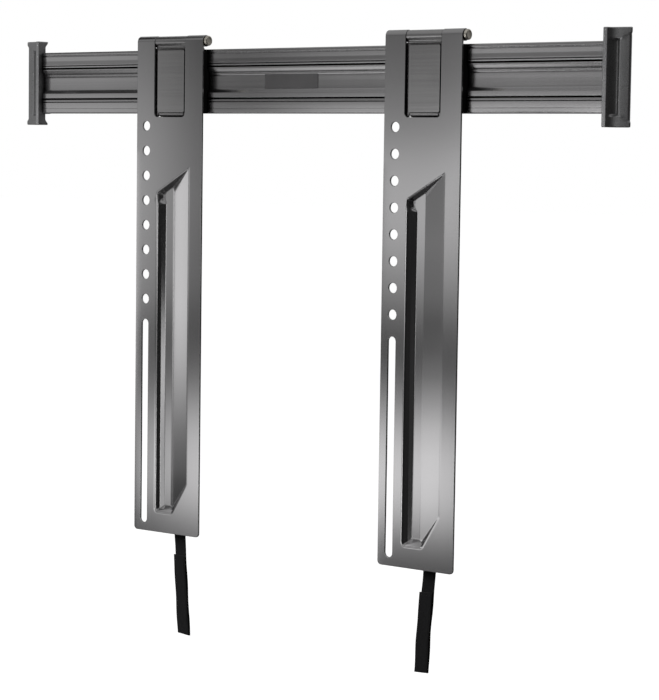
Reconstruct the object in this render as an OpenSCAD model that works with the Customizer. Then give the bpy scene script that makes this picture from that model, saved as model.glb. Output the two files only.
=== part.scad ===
// Low-profile wall mount for a flat television: one horizontal wall rail and
// two hanging vertical brackets, each hinged on a carriage that hooks over
// the rail, with a spring latch below the rail released by a pull strap.
// +X runs along the rail, +Z is up and the wall is the plane y = 0.
// The origin is the middle of the rail, on the wall.

/* [Wall rail] */
// Length of the rail between its end caps
rail_len = 687.4; // [660:0.1:900]
// Height of the rail
rail_h = 63.5; // [63:0.5:64]
// Depth of the rail from the wall to its front
rail_d = 12.5; // [12.5:0.1:12.8]
// Spacing of the inner wall slots, for studs 16 inches apart
stud_16 = 406.4; // [380:0.1:420]
// Spacing of the outer wall slots, for studs 24 inches apart
stud_24 = 609.6; // [580:0.1:620]
// Height between the two rows of wall slots
slot_rows = 17; // [15:0.5:18]
// Radius of the wall slots
wall_hole_r = 4.5; // [3.5:0.25:5]
// Length of a wall slot between the centres of its ends
wall_slot_l = 12; // [6:1:20]

/* [Brackets] */
// Middle of the left bracket along the rail
left_x = -158; // [-200:1:-100]
// Middle of the right bracket along the rail
right_x = 153.5; // [100:0.5:200]
// Width of a bracket
br_w = 87; // [86:0.5:88]
// Height of the bottom edge of a bracket
br_bottom = -456.8; // [-458:0.1:-456]
// Distance from the wall to the face of a bracket
br_face = 20.5; // [20.5:0.1:20.8]
// Thickness of the bracket sheet
br_t = 2.2; // [2.0:0.1:2.3]
// Height of the uppermost television screw hole
hole_top = -44.2; // [-46:0.1:-43]
// Pitch of the television screw holes
hole_pitch = 25; // [24:0.5:25]
// Radius of the television screw holes
hole_r = 4.8; // [3.5:0.1:5]
// Distance from the left edge to the column of holes
hole_in = 12.8; // [11:0.1:14]
// Half the width of the long television screw slot
slot_r = 4.4; // [3.5:0.1:4.8]

/* [Hinge] */
// Height of the hinge pin above the middle of the rail
pin_z = 40; // [39.9:0.1:41]
// Radius of the hinge pin
pin_r = 3.4; // [3.3:0.05:3.42]
// Radius of the bore in the knuckles
knuckle_bore = 3.5; // [3.5:0.01:3.52]

/* [Latch and strap] */
// Travel of the latch slide
latch_travel = 8; // [6:0.5:8]
// Width of the pull strap
strap_w = 14.5; // [12:0.5:15]
// Turns of the latch spring
spring_turns = 6; // [4:1:7]

/* [Hidden] */
$fn = 48;

hh = rail_h / 2;            // half the rail's height
ch_up = 15.4;               // channel of the rail's front: above and below the middle
ch_dn = 17.2;
yf = -br_face;              // face of the brackets
yb = yf + br_t;             // back of the bracket sheet
pin_y = yf + knuckle_bore + br_t;   // hinge axis, so that the knuckle is flush with the face
hook_t = 1.8;               // sheet of the hook plate
hw = br_w / 2;              // half the bracket's width
tr_d = 7;                   // depth of the bracket's trough
win = 20.25;                // half the width of the bracket's window
xs = -hw;                   // left edge of a bracket, from which s is counted
alu = [0.42, 0.42, 0.43];
steel = [0.36, 0.36, 0.37];
black = [0.06, 0.06, 0.06];
nickel = [0.72, 0.69, 0.64];

// Solids swept along X from a section in (y, z), along Y from one in (x, z)
module xprism(x0, x1) translate([x0, 0, 0]) rotate([90, 0, 90]) linear_extrude(x1 - x0) children();
module yprism(y0, y1) translate([0, y1, 0]) rotate([90, 0, 0]) linear_extrude(y1 - y0) children();
module zprism(z0, z1) translate([0, 0, z0]) linear_extrude(z1 - z0) children();
module box(x0, x1, y0, y1, z0, z1) translate([x0, y0, z0]) cube([x1 - x0, y1 - y0, z1 - z0]);
module rect(a0, a1, b0, b1) translate([a0, b0]) square([a1 - a0, b1 - b0]);
module xcyl(x0, x1, y, z, r1, r2 = -1) translate([x0, y, z]) rotate([0, 90, 0])
    cylinder(h = x1 - x0, r1 = r1, r2 = r2 < 0 ? r1 : r2);
module ycyl(x, z, y0, y1, r) translate([x, y1, z]) rotate([90, 0, 0]) cylinder(h = y1 - y0, r = r);
// A slot through a plate in (x, z): upright or lying
module upright_slot(x, z0, z1, y0, y1, r) {
    ycyl(x, z0, y0, y1, r);
    ycyl(x, z1, y0, y1, r);
    box(x - r, x + r, y0, y1, z0, z1);
}
module lying_slot(x0, x1, z, y0, y1, r) {
    ycyl(x0, z, y0, y1, r);
    ycyl(x1, z, y0, y1, r);
    box(x0, x1, y0, y1, z - r, z + r);
}

// ---------------------------------------------------------------- wall rail
// One half of the extruded section: a front wall with an open slot behind it
// that takes the hooks, a hollow rear box, and the side of the middle channel.
// c is the distance from the rail's middle to the near side of the channel.
module rail_half(c) {
    difference() {
        union() {
            rect(-rail_d, -rail_d + 1.8, c, hh);
            rect(-rail_d, 0, c, c + 2);
            rect(-rail_d, -5.2, 21.7, 23.5);
            rect(-6.7, -5.2, c, 29.75);
            rect(-6.7, 0, 27.95, 29.75);
        }
        // snap groove for the cover
        rect(-6.1, -4.5, c - 0.2, c + 0.6);
    }
}

module wall_rail() color(alu) difference() {
    xprism(-rail_len / 2, rail_len / 2) {
        rail_half(ch_up);
        mirror([0, 1]) rail_half(ch_dn);
        rect(-2.2, 0, -29.75, 29.75);
    }
    for (d = [stud_16, stud_24], sx = [-1, 1], sz = [-1, 1])
        lying_slot(sx * d / 2 - wall_slot_l / 2, sx * d / 2 + wall_slot_l / 2,
            sz * slot_rows / 2, -4, 1, wall_hole_r);
}

// Snap-in cover of the middle channel, a shallow trough with a long bevel
// above and a steep one below. It hides the wall screws; the rail is fastened
// before it is pressed in.
cov_up = ch_up - 1;             // top and bottom edges of the cover
cov_dn = ch_dn - 1;
module rail_cover() color(alu) xprism(-rail_len / 2, rail_len / 2) {
    yc = -rail_d;
    polygon([[yc, cov_up], [yc, 13], [yc + 3, 7.4], [yc + 3, -7.6], [yc, -11], [yc, -cov_dn],
        [yc + 1.9, -cov_dn], [yc + 1.9, -12.2], [yc + 4.5, -9], [yc + 4.5, 8.6], [yc + 1.9, cov_up - 0.6],
        [yc + 1.9, cov_up]]);
    rect(yc + 1.2, -4.8, cov_up - 1.4, cov_up);
    rect(-5.8, -4.8, cov_up - 0.6, cov_up + 1.3);
    rect(yc + 1.2, -4.8, -cov_dn, -cov_dn + 1.4);
    rect(-5.8, -4.8, -cov_dn - 1.3, -cov_dn + 0.6);
}

// Blank plate in the middle of the cover
module nameplate() color(black) difference() {
    box(-43.5, 22.5, -rail_d + 2.7, -rail_d + 3, -7.4, 6.8);
    for (x = [-43.5, 22.5], z = [-7.4, 6.8])
        translate([x, -rail_d + 2, z]) rotate([0, 45, 0]) cube([1.6, 4, 1.6], center = true);
}

// ----------------------------------------------------------------- end caps
ridge = rail_len / 2 + 5.5;     // outer edge of the cap's front ridge
cd = rail_d + 5.7;              // depth of the cap
module cap_plan(pts) polygon([for (p = pts) [ridge + p[0], -cd + p[1]]]);
module end_cap_shape() {
    difference() {
        union() {
            // scooped middle
            zprism(-35, 35) cap_plan([[-5.4, 0], [-0.8, 0], [-0.4, 2.5], [1.0, 5.2], [3.0, 7.1], [5.4, 7.7],
                [7.4, 6.9], [8.7, 6.1], [17.2, 7.9], [17.8, 9.2], [13.2, cd], [-5.4, cd]]);
            // fuller top and bottom
            for (z = [-43.5, 35]) zprism(z, z + 8.5)
                cap_plan([[-5.4, 0], [-0.8, 0], [0.2, 2.6], [2.2, 4.4], [11.4, 6.2], [19, 7.8], [19.2, 8.7], [12.8, cd],
                    [-5.4, cd]]);
        }
        // relief above and below the rail, on the wall side
        for (s = [0, 1]) mirror([0, 0, s]) {
            zprism(hh + 0.2, 37.3) cap_plan([[-7, 10.3], [-5.4, 10.3], [2.5, cd], [2.5, cd + 1], [-7, cd + 1]]);
            zprism(37.2, 44) cap_plan([[-7, 14], [-5.4, 14], [-1.2, cd], [-1.2, cd + 1], [-7, cd + 1]]);
        }
    }
    // tongues that plug into the hollows of the rail
    for (s = [0, 1]) mirror([0, 0, s]) box(rail_len / 2 - 16, rail_len / 2 + 1, -5.0, -2.4, 19.6, 27.7);
    box(rail_len / 2 - 12, rail_len / 2 + 1, -rail_d + 4.8, -2.5, -12.8, 12.8);
}
module left_end_cap() color(black) mirror([1, 0, 0]) end_cap_shape();
module right_end_cap() color(black) end_cap_shape();

// --------------------------------------------------- carriage on the rail
wy0 = yb + 0.4;                 // front of the hook plate's web
wy1 = wy0 + hook_t;
lip_y0 = -rail_d + 2.3;         // front of the hooks' downturned lips
ap_y1 = lip_y0 - 0.1;           // back of the apron below the rail
ap_y0 = ap_y1 - hook_t;
sl_y0 = ap_y1 + 0.2;            // latch slide
sl_y1 = sl_y0 + 1.6;
riv_z = -46;
pad_x = 1.1;                    // the pad stands a little to the right in the window

// Pressed sheet with the middle knuckle, two hooks over the rail, a raised
// pad that fills the bracket's window, and an apron for the latch.
module hook_plate_shape() difference() {
    union() {
        box(-36, 36, wy0, wy1, -35, hh + 0.25);
        box(-20, 20, wy0, wy1, hh, 36);
        for (s = [0, 1]) mirror([s, 0, 0]) {
            box(22, 36, wy0, lip_y0 + hook_t, hh + 0.25, hh + 0.25 + hook_t);
            box(22, 36, lip_y0, lip_y0 + hook_t, 25.5, hh + 0.25 + hook_t);
        }
        xcyl(-20, 20, pin_y, pin_z, knuckle_bore + hook_t);
        // bead above the pad
        box(-19, 19, wy0 - 1, wy0 + 0.5, 33.1, 34.3);
        // raised pad
        yprism(yf + 0.6, wy1) {
            rect(pad_x - 18.4, pad_x + 18.4, -30.2, 29);
            rect(pad_x - 15.4, pad_x + 15.4, 28, 32);
            rect(pad_x - 17.4, pad_x + 17.4, -31.2, -29);
            for (s = [-1, 1]) {
                translate([pad_x + s * 15.4, 29]) circle(r = 3);
                translate([pad_x + s * 17.4, -30.2]) circle(r = 1);
            }
        }
        // joggle and apron below the rail
        box(-16, 16, wy0, ap_y1, -35, -33.2);
        box(-16, 16, ap_y0, ap_y1, -68, -33.2);
        box(-3.4, 3.4, ap_y0, -7.4, -65.8, -64);
    }
    // hollow behind the pad
    box(pad_x - 16.6, pad_x + 16.6, yf + 0.6 + hook_t, wy1 + 1, -29.4, 30.2);
    // knuckle bore
    xcyl(-25, 25, pin_y, pin_z, knuckle_bore);
    // spring window and rivet holes
    box(-4.2, 4.2, ap_y0 - 1, ap_y1 + 1, -64, -49);
    for (x = [-8.5, 8.5]) ycyl(x, riv_z, ap_y0 - 1, ap_y1 + 1, 2.05);
}

// Moulded glide between the hook plate and the rail, shaped to the rail's front
module glide_shoe_shape() difference() {
    xprism(-hw + 0.2, hw - 0.2) polygon([[yb + 0.3, -31.5], [yb + 0.3, 31.5],
        [-rail_d - 0.3, 31.5], [-rail_d - 0.3, 12.9], [-rail_d + 2.2, 8.2],
        [-rail_d + 2.2, -8], [-rail_d - 0.3, -10.85], [-rail_d - 0.3, -31.5]]);
    box(-36.2, 36.2, yb - 1, wy1 + 0.1, -33, 33);
}

// Shouldered rivets that guide the latch slide
module latch_rivets_shape() for (x = [-8.5, 8.5]) {
    ycyl(x, riv_z, ap_y0 - 0.2, sl_y1 + 0.5, 2);
    ycyl(x, riv_z, ap_y0 - 0.9, ap_y0, 3.2);
    ycyl(x, riv_z, sl_y1 + 0.2, sl_y1 + 1.3, 3.4);
}

// Latch slide: its upper lip stands behind the lower edge of the rail's front
module latch_slider_shape() difference() {
    union() {
        box(-13, 13, sl_y0, sl_y1, -76, -33);
        box(-10, 10, sl_y0, sl_y1, -34, -26.5);
    }
    for (x = [-8.5, 8.5]) upright_slot(x, riv_z, riv_z + latch_travel, sl_y0 - 1, sl_y1 + 1, 2.1);
    box(-4.2, 4.2, sl_y0 - 1, sl_y1 + 1, -67, -50);
    box(-8, 8, sl_y0 - 1, sl_y1 + 1, -72.5, -70.3);
}

// Compression spring in the windows of the apron and the slide
module latch_spring_shape() {
    r = 2.65; w = 0.35; n = 12 * spring_turns; k = 8;
    z0 = -64 + w + 0.05; z1 = -50 - w - 0.05;
    function at(i) = let (a = 360 * i / 12, t = i / n,
        u = t < 0.17 ? 0.03 * t / 0.17 : t > 0.83 ? 1 - 0.03 * (1 - t) / 0.17 : 0.03 + 0.94 * (t - 0.17) / 0.66)
        [r * cos(a), r * sin(a), z0 + (z1 - z0) * u];
    pts = [for (i = [0 : n]) let (p = at(i), a = 360 * i / 12)
        for (j = [0 : k - 1]) let (b = 360 * j / k)
            [p[0] + w * cos(b) * cos(a), p[1] + w * cos(b) * sin(a), p[2] + w * sin(b)]];
    side = [for (i = [0 : n - 1]) for (j = [0 : k - 1])
        [i * k + j, i * k + (j + 1) % k, (i + 1) * k + (j + 1) % k, (i + 1) * k + j]];
    translate([0, ap_y1, 0]) polyhedron(points = pts, faces = concat([for (f = side) [f[3], f[2], f[1], f[0]]],
        [[for (j = [0 : k - 1]) j], [for (j = [k - 1 : -1 : 0]) n * k + j]]), convexity = 8);
}

// ------------------------------------------------------------- pull strap
// Webbing: a loop round the slide's lower bar, then one layer that hangs
// behind the bracket and leans a little by the time it shows below it.
st = 1.3;                       // thickness of the webbing
st_y = -2.1;                    // back of the hanging part
module ribbon(path, w, dx = 0) polygon(concat(
    [for (p = path) [p[0] + dx - w / 2, p[1]]],
    [for (i = [len(path) - 1 : -1 : 0]) [path[i][0] + dx + w / 2, path[i][1]]]));
module pull_strap_shape(path) {
    difference() {
        box(-strap_w / 2, strap_w / 2, sl_y0 - 1.5, sl_y1 + 1.5, -77.5, -70.8);
        box(-strap_w, strap_w, sl_y0 - 0.2, sl_y1 + 0.2, -76.2, -72.1);
    }
    xprism(-strap_w / 2, strap_w / 2) polygon([[sl_y1 + 0.2, -76.4], [sl_y1 + 1.5, -76.0],
        [st_y, -84.5], [st_y, -90], [st_y - st, -90], [st_y - st, -85.4], [sl_y1 - 0.4, -77.5]]);
    yprism(st_y - st, st_y) ribbon(path, strap_w);
}
module strap_tab_shape(path) yprism(st_y - 2 * st - 0.05, st_y - st - 0.05) ribbon(path, strap_w + 0.5, -1);

// ------------------------------------------------------------- TV bracket
function sx(s) = s - hw;
// The pressed trough: its outline on the sheet and its floor, in (s, z), joined by
// leaning walls. The right-hand side rises in one long shallow slope.
function on_face(pts) = [for (p = pts) [sx(p[0]), p[1]]];
module trough_in() hull() {
    yprism(yf - 1, yf) polygon(on_face([[28, -434.7], [29.5, -436.2], [51.1, -436.2], [70.6, -404],
        [70.6, -86.8], [31, -109.8], [28, -112.8]]));
    yprism(yf + tr_d - 0.01, yf + tr_d) polygon(on_face([[35, -429.2], [44.4, -429.2], [44.4, -104.7],
        [35, -110.2]]));
    box(sx(47.6), sx(47.7), yf + tr_d - 0.9, yf + tr_d - 0.89, -430.1, -430);
}
module trough_out() hull() {
    yprism(yb - 0.1, yb) polygon(on_face([[27.1, -435.2], [29.1, -437.1], [51.7, -437.1], [70.9, -405.2],
        [70.9, -84.9], [30.5, -108.3], [27.1, -111.7]]));
    yprism(yb + tr_d - 0.01, yb + tr_d) polygon(on_face([[34.1, -430.1], [44.7, -430.1], [44.7, -102.8],
        [34.1, -108.9]]));
    box(sx(47.9), sx(48), yb + tr_d - 0.9, yb + tr_d - 0.89, -431, -430.9);
}

module tv_bracket_shape() difference() {
    union() {
        // face, with rounded lower corners
        box(-hw, hw, yf, yb, br_bottom + 4, pin_z);
        box(-hw + 4, hw - 4, yf, yb, br_bottom, br_bottom + 5);
        for (s = [-1, 1]) ycyl(s * (hw - 4), br_bottom + 4, yf, yb, 4);
        // outer knuckles, rolled back from the face
        xcyl(-hw, -win, pin_y, pin_z, knuckle_bore + br_t);
        xcyl(win, hw, pin_y, pin_z, knuckle_bore + br_t);
        trough_out();
    }
    trough_in();
    // window for the hook plate's pad and knuckle
    box(-win, win, yf - 1, pin_y + 8, -31.2, pin_z + 8);
    box(-win + 4, win - 4, yf - 1, yb + 1, -35.2, -31);
    for (s = [-1, 1]) ycyl(s * (win - 4), -31.2, yf - 1, yb + 1, 4);
    // pin bore and the open seam of the roll
    xcyl(-hw - 1, hw + 1, pin_y, pin_z, knuckle_bore);
    box(-hw - 1, hw + 1, pin_y - 2.6, pin_y - 2.1, pin_z - 6.5, pin_z - 1.5);
    // television screw holes and the long slot
    for (i = [0 : 7]) ycyl(sx(hole_in), hole_top - i * hole_pitch, yf - 1, yb + 1, hole_r);
    upright_slot(sx(hole_in), hole_top - 400, hole_top - 200, yf - 1, yb + 1, slot_r);
}

// Hinge pin with a turned head at its right end
module hinge_pin_shape() {
    xcyl(-hw + 0.6, hw + 0.5, pin_y, pin_z, pin_r);
    xcyl(-hw, -hw + 0.6, pin_y, pin_z, pin_r - 0.6, pin_r);
    xcyl(hw + 0.3, hw + 3.0, pin_y, pin_z, 5);
    xcyl(hw + 3.0, hw + 3.8, pin_y, pin_z, 5, 4.2);
}

// ------------------------------------------------------- left and right set
left_path = [[0, -86], [1.4, -250], [3.6, -460], [5.4, -485], [8.6, -525], [11.7, -562]];
right_path = [[0, -86], [1.8, -250], [4.9, -462], [3.2, -485], [0.4, -520], [-1.4, -558]];
left_tab = [[5.1, -481], [8.6, -525], [11.7, -562]];
right_tab = [[3.5, -480.5], [0.4, -520], [-1.4, -558]];

module left_hook_plate() color(steel) translate([left_x, 0, 0]) hook_plate_shape();
module left_glide_shoe() color(black) translate([left_x, 0, 0]) glide_shoe_shape();
module left_latch_rivets() color(nickel) translate([left_x, 0, 0]) latch_rivets_shape();
module left_latch_slider() color(nickel) translate([left_x, 0, 0]) latch_slider_shape();
module left_latch_spring() color(nickel) translate([left_x, 0, 0]) latch_spring_shape();
module left_pull_strap() color(black) translate([left_x, 0, 0]) pull_strap_shape(left_path);
module left_strap_tab() color(black) translate([left_x, 0, 0]) strap_tab_shape(left_tab);
module left_tv_bracket() color(steel) translate([left_x, 0, 0]) tv_bracket_shape();
module left_hinge_pin() color(nickel) translate([left_x, 0, 0]) hinge_pin_shape();

module right_hook_plate() color(steel) translate([right_x, 0, 0]) hook_plate_shape();
module right_glide_shoe() color(black) translate([right_x, 0, 0]) glide_shoe_shape();
module right_latch_rivets() color(nickel) translate([right_x, 0, 0]) latch_rivets_shape();
module right_latch_slider() color(nickel) translate([right_x, 0, 0]) latch_slider_shape();
module right_latch_spring() color(nickel) translate([right_x, 0, 0]) latch_spring_shape();
module right_pull_strap() color(black) translate([right_x, 0, 0]) pull_strap_shape(right_path);
module right_strap_tab() color(black) translate([right_x, 0, 0]) strap_tab_shape(right_tab);
module right_tv_bracket() color(steel) translate([right_x, 0, 0]) tv_bracket_shape();
module right_hinge_pin() color(nickel) translate([right_x, 0, 0]) hinge_pin_shape();

wall_rail();
rail_cover();
nameplate();
left_end_cap();
right_end_cap();
left_hook_plate();
left_glide_shoe();
left_latch_rivets();
left_latch_slider();
left_latch_spring();
left_pull_strap();
left_strap_tab();
left_tv_bracket();
left_hinge_pin();
right_hook_plate();
right_glide_shoe();
right_latch_rivets();
right_latch_slider();
right_latch_spring();
right_pull_strap();
right_strap_tab();
right_tv_bracket();
right_hinge_pin();
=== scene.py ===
import math

import bmesh
import bpy
from mathutils import Matrix, Vector
from mathutils.geometry import delaunay_2d_cdt


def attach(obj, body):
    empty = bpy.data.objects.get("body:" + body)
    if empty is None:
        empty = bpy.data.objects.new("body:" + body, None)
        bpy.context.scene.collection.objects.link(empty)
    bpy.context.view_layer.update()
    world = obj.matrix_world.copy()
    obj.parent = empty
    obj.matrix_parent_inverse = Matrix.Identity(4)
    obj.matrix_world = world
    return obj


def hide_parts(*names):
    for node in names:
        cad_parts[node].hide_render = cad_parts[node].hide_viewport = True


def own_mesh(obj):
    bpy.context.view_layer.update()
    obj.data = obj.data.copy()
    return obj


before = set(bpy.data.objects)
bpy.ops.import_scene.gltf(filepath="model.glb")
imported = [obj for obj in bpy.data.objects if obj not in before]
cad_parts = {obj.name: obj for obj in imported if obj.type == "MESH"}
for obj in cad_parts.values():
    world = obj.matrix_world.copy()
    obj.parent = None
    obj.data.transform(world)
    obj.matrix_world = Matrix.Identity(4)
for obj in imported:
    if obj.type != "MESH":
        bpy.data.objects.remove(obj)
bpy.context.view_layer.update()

MM = 0.001
sc = bpy.context.scene
rad = math.radians

# ------------------------------------------------------------------ camera
az, el, roll = rad(37.738), rad(4.742), rad(0.804)
b = Vector((math.sin(az) * math.cos(el), -math.cos(az) * math.cos(el), math.sin(el)))
rt = Vector((math.cos(az), math.sin(az), 0))
up = b.cross(rt)
cx_ = rt * math.cos(roll) + up * math.sin(roll)
cy_ = up * math.cos(roll) - rt * math.sin(roll)
cam_data = bpy.data.cameras.new("camera")
cam = bpy.data.objects.new("camera", cam_data)
sc.collection.objects.link(cam)
cam_data.sensor_fit = "HORIZONTAL"
cam_data.sensor_width = 36
cam_data.lens = 128.29
cam_data.clip_start, cam_data.clip_end = 0.05, 100
cam.matrix_world = Matrix((
    (cx_.x, cy_.x, b.x, 1.41976),
    (cx_.y, cy_.y, b.y, -1.79112),
    (cx_.z, cy_.z, b.z, -0.07120),
    (0, 0, 0, 1),
))
sc.camera = cam
sc.view_settings.view_transform = "Standard"
sc.view_settings.look = "None"

# ------------------------------------------------------- sizes shared with the CAD, in mm
LEFT, RIGHT = -158.0, 153.5
FACE, T = -20.5, 2.2
BACK = FACE + T
HW, WIN = 43.5, 20.25
PY, PZ = -14.8, 40.0
R_OUT, R_IN = 5.7, 3.5
RAIL_D = 12.5


# ------------------------------------------------------------------ materials
class Mat:
    """A small node graph: every colour is broken up by noise at a real scale."""

    def __init__(self, name):
        self.m = bpy.data.materials.new(name)
        self.m.use_nodes = True
        self.t = self.m.node_tree
        self.t.nodes.clear()
        self.out = self.t.nodes.new("ShaderNodeOutputMaterial")
        self.bsdf = self.t.nodes.new("ShaderNodeBsdfPrincipled")
        self.t.links.new(self.bsdf.outputs[0], self.out.inputs["Surface"])
        self.co = self.t.nodes.new("ShaderNodeTexCoord")

    def node(self, kind, **kw):
        n = self.t.nodes.new(kind)
        for k, v in kw.items():
            if k in n.inputs:
                n.inputs[k].default_value = v
            else:
                setattr(n, k, v)
        return n

    def link(self, a, b):
        self.t.links.new(a, b)

    def mapped(self, scale):
        mp = self.node("ShaderNodeMapping")
        mp.inputs["Scale"].default_value = scale
        self.link(self.co.outputs["Object"], mp.inputs["Vector"])
        return mp.outputs["Vector"]

    def noise(self, scale, freq, detail=3.0, rough=0.55):
        n = self.node("ShaderNodeTexNoise", Scale=freq, Detail=detail, Roughness=rough)
        self.link(self.mapped(scale), n.inputs["Vector"])
        return n.outputs["Fac"]

    def ramp(self, fac, stops):
        r = self.node("ShaderNodeValToRGB")
        e = r.color_ramp.elements
        while len(e) > len(stops):
            e.remove(e[-1])
        while len(e) < len(stops):
            e.new(0.5)
        for i, (p, c) in enumerate(stops):
            e[i].position = p
            e[i].color = (c[0], c[1], c[2], 1) if hasattr(c, "__len__") else (c, c, c, 1)
        self.link(fac, r.inputs["Fac"])
        return r.outputs["Color"]

    def range(self, fac, lo, hi, a=0.0, z=1.0):
        r = self.node("ShaderNodeMapRange")
        r.inputs["From Min"].default_value = a
        r.inputs["From Max"].default_value = z
        r.inputs["To Min"].default_value = lo
        r.inputs["To Max"].default_value = hi
        self.link(fac, r.inputs["Value"])
        return r.outputs["Result"]

    def math(self, op, a, c):
        n = self.node("ShaderNodeMath", operation=op)
        for i, v in enumerate((a, c)):
            if isinstance(v, (int, float)):
                n.inputs[i].default_value = v
            else:
                self.link(v, n.inputs[i])
        return n.outputs[0]

    def mix(self, fac, a, c):
        n = self.node("ShaderNodeMix", data_type="RGBA")
        self.link(fac, n.inputs["Factor"]) if not isinstance(fac, float) else None
        for s, v in ((6, a), (7, c)):
            if hasattr(v, "is_linked") or hasattr(v, "links"):
                self.link(v, n.inputs[s])
            else:
                n.inputs[s].default_value = (*v, 1) if len(v) == 3 else v
        return n.outputs[2]

    def bump(self, height, strength, dist, normal=None):
        n = self.node("ShaderNodeBump", Strength=strength, Distance=dist)
        self.link(height, n.inputs["Height"])
        if normal is not None:
            self.link(normal, n.inputs["Normal"])
        return n.outputs["Normal"]

    def edge(self, radius=0.0008):
        """0 on flats, up to 1 on worn convex edges."""
        bv = self.node("ShaderNodeBevel", samples=4)
        bv.inputs["Radius"].default_value = radius
        g = self.node("ShaderNodeNewGeometry")
        d = self.node("ShaderNodeVectorMath", operation="DOT_PRODUCT")
        self.link(bv.outputs[0], d.inputs[0])
        self.link(g.outputs["Normal"], d.inputs[1])
        return d.outputs["Value"]


def metal(name, dark, light, r0, r1, grain=(1, 1, 1), grain_f=900, grain_b=0.02, cloud_f=14, painted_shade_reach=0.0, lo=0.42, hi=0.72, floor=0.02):
    """Satin metal: fine grain across or along the sheet, slow clouding of tone and gloss, and painted shade: ambient
    occlusion darkens the base colour in its crevices.
    """
    m = Mat(name)
    cloud = m.noise((1, 1, 1), cloud_f, 4)
    fine = m.noise(grain, grain_f, 2, 0.6)
    both = m.math("ADD", m.math("MULTIPLY", cloud, 0.5), m.math("MULTIPLY", fine, 0.5))
    col = m.ramp(both, [(0.3, dark), (0.7, light)])
    # painted shade: the base colour is multiplied down towards floor where ambient occlusion finds crevices and gaps
    if painted_shade_reach:
        n = m.node("ShaderNodeAmbientOcclusion", samples=6)
        n.inputs["Distance"].default_value = painted_shade_reach
        mx = m.node("ShaderNodeMix", data_type="RGBA", blend_type="MULTIPLY")
        mx.inputs["Factor"].default_value = 1.0
        m.link(col, mx.inputs[6])
        m.link(m.ramp(n.outputs["AO"], [(lo, floor), (hi, 1.0)]), mx.inputs[7])
        col = mx.outputs[2]
    m.link(col, m.bsdf.inputs["Base Color"])
    m.link(m.range(both, r0, r1, 0.3, 0.7), m.bsdf.inputs["Roughness"])
    m.link(m.bump(fine, grain_b, 0.0002), m.bsdf.inputs["Normal"])
    m.bsdf.inputs["Metallic"].default_value = 1.0
    return m.m


def plastic(name, dark, light, r0, r1, f=1500, bump=0.12, spec=0.4, painted_shade_reach=0.0, lo=0.45, hi=0.9, floor=0.03):
    """Moulded plastic with a fine spark-eroded texture and slight flow clouding, and painted shade: ambient occlusion
    darkens the base colour in its hollows.
    """
    m = Mat(name)
    cloud = m.noise((1, 1, 1), 22, 3)
    fine = m.noise((1, 1, 1), f, 2, 0.6)
    col = m.ramp(cloud, [(0.35, dark), (0.65, light)])
    # painted shade: the base colour is multiplied down towards floor where ambient occlusion finds hollows
    if painted_shade_reach:
        n = m.node("ShaderNodeAmbientOcclusion", samples=8)
        n.inputs["Distance"].default_value = painted_shade_reach
        mx = m.node("ShaderNodeMix", data_type="RGBA", blend_type="MULTIPLY")
        mx.inputs["Factor"].default_value = 1.0
        m.link(col, mx.inputs[6])
        m.link(m.ramp(n.outputs["AO"], [(lo, floor), (hi, 1.0)]), mx.inputs[7])
        col = mx.outputs[2]
    m.link(col, m.bsdf.inputs["Base Color"])
    m.link(m.range(fine, r0, r1, 0.3, 0.7), m.bsdf.inputs["Roughness"])
    m.link(m.bump(fine, bump, 0.0002), m.bsdf.inputs["Normal"])
    m.bsdf.inputs["Specular IOR Level"].default_value = spec
    return m.m


def webbing(name, dark, light):
    """Woven tape: ribs across the width, warp threads along it."""
    m = Mat(name)
    weft = m.node("ShaderNodeTexWave", wave_type="BANDS", bands_direction="Z", Scale=420, Distortion=0.6)
    weft.inputs["Detail"].default_value = 2
    weft.inputs["Detail Scale"].default_value = 2.0
    m.link(m.co.outputs["Object"], weft.inputs["Vector"])
    warp = m.node("ShaderNodeTexWave", wave_type="BANDS", bands_direction="X", Scale=520, Distortion=0.4)
    m.link(m.co.outputs["Object"], warp.inputs["Vector"])
    h = m.math("ADD", m.math("MULTIPLY", weft.outputs["Fac"], 0.65), m.math("MULTIPLY", warp.outputs["Fac"], 0.35))
    fuzz = m.noise((1, 1, 1), 700, 3)
    tone = m.math("ADD", m.math("MULTIPLY", h, 0.6), m.math("MULTIPLY", fuzz, 0.4))
    m.link(m.ramp(tone, [(0.25, dark), (0.75, light)]), m.bsdf.inputs["Base Color"])
    m.link(m.bump(h, 0.6, 0.0004), m.bsdf.inputs["Normal"])
    m.link(m.range(fuzz, 0.85, 0.98), m.bsdf.inputs["Roughness"])
    m.bsdf.inputs["Sheen Weight"].default_value = 0.05
    m.bsdf.inputs["Specular IOR Level"].default_value = 0.1
    return m.m


# Materials below with an occlusion reach get painted shade: their base colour darkens in crevices and gaps, down to the
# floor factor.
BR = metal("bracket_satin", (0.425, 0.42, 0.425), (0.445, 0.44, 0.445), 0.14, 0.17, (1, 1, 1), 900, 0.006, painted_shade_reach=0.006, lo=0.36, hi=0.66)
HK = metal("hook_brushed", (0.37, 0.365, 0.37), (0.45, 0.445, 0.445), 0.18, 0.26, (4, 60, 330), 1.0, 0.01, painted_shade_reach=0.010, lo=0.46, hi=0.80)
AL = metal("rail_anodised", (0.40, 0.395, 0.40), (0.46, 0.455, 0.46), 0.17, 0.24, (3, 300, 420), 1.0, 0.01, painted_shade_reach=0.007, lo=0.44, hi=0.74)
CV = metal("cover_anodised", (0.39, 0.385, 0.39), (0.45, 0.445, 0.45), 0.18, 0.25, (3, 300, 420), 1.0, 0.01, painted_shade_reach=0.007, lo=0.44, hi=0.74)
PIN = metal("pin_nickel", (0.70, 0.66, 0.58), (0.84, 0.80, 0.71), 0.26, 0.36, (1, 1, 1), 900, 0.02, 60, painted_shade_reach=0.004, lo=0.3, hi=0.7)
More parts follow.
